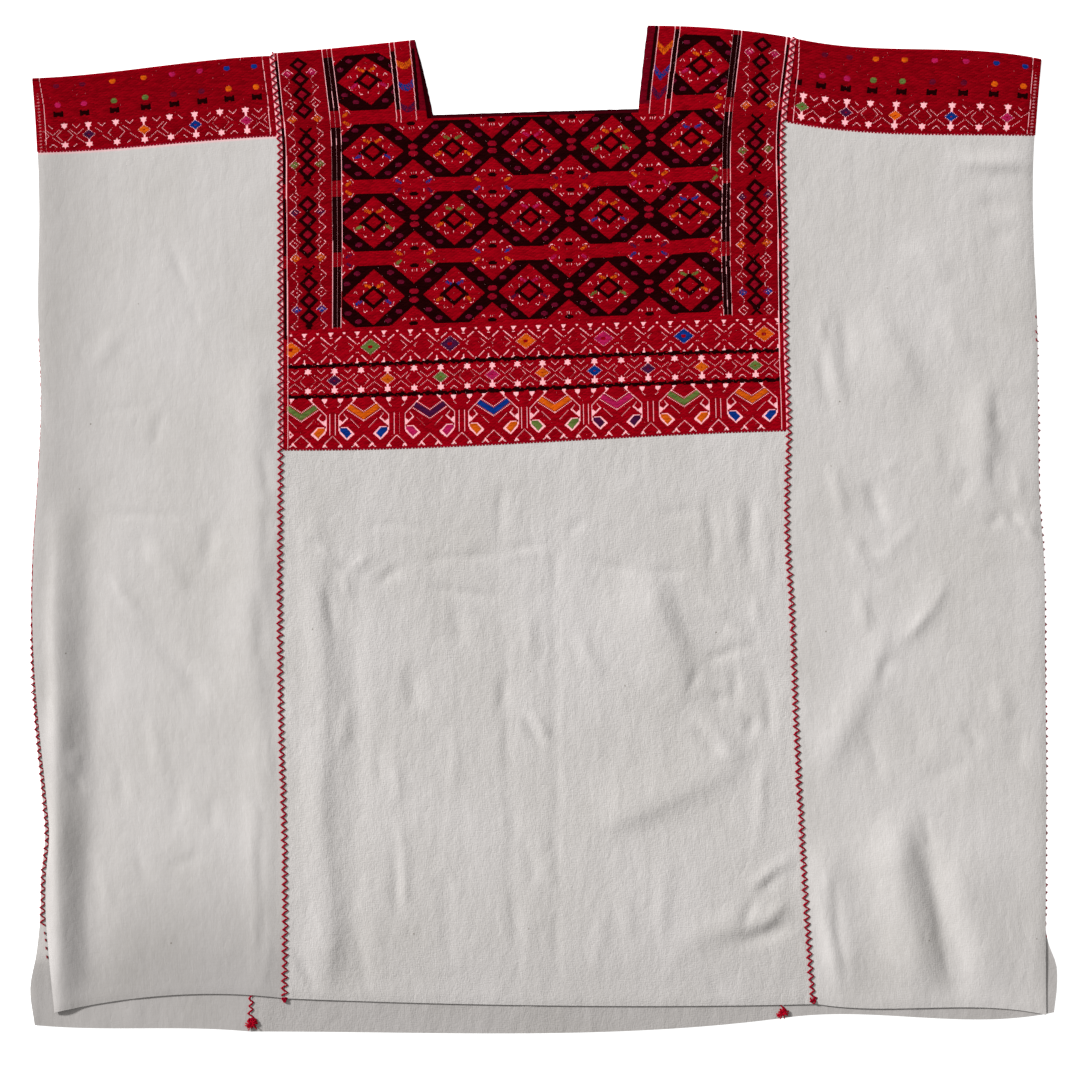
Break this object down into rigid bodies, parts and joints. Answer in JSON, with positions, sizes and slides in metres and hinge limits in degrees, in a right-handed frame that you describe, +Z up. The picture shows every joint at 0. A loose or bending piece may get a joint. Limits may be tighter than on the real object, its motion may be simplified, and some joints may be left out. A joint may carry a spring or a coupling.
{
  "type": "huipil blouse",
  "caption": "Wide, square cotton blouse lying flat, of joined webs folded at the shoulder, with a square neck and a woven red, black and white yoke.",
  "frame": {"origin": "middle of the blouse's plan, on the surface that it lies on", "axes": "+Z up out of the surface, front up; +Y towards the shoulders; +X to the right as seen from above"},
  "size_m": [0.8007, 0.786, 0.0092],
  "materials": {
    "centre_cloth": "matt handwoven cotton, off-white, with red, black and coloured pattern wefts over the yoke",
    "side_cloth": "matt handwoven cotton, off-white, with a red brocaded band over the shoulder",
    "pattern_yarn": "soft cotton pattern yarn, mostly red, with black, orange, blue, green, magenta and purple",
    "join_thread": "deep red cotton sewing thread"
  },
  "bodies": {
    "root": {"centre_web": "centre_cloth", "left_web": "side_cloth", "right_web": "side_cloth"}
  },
  "joints": []
}
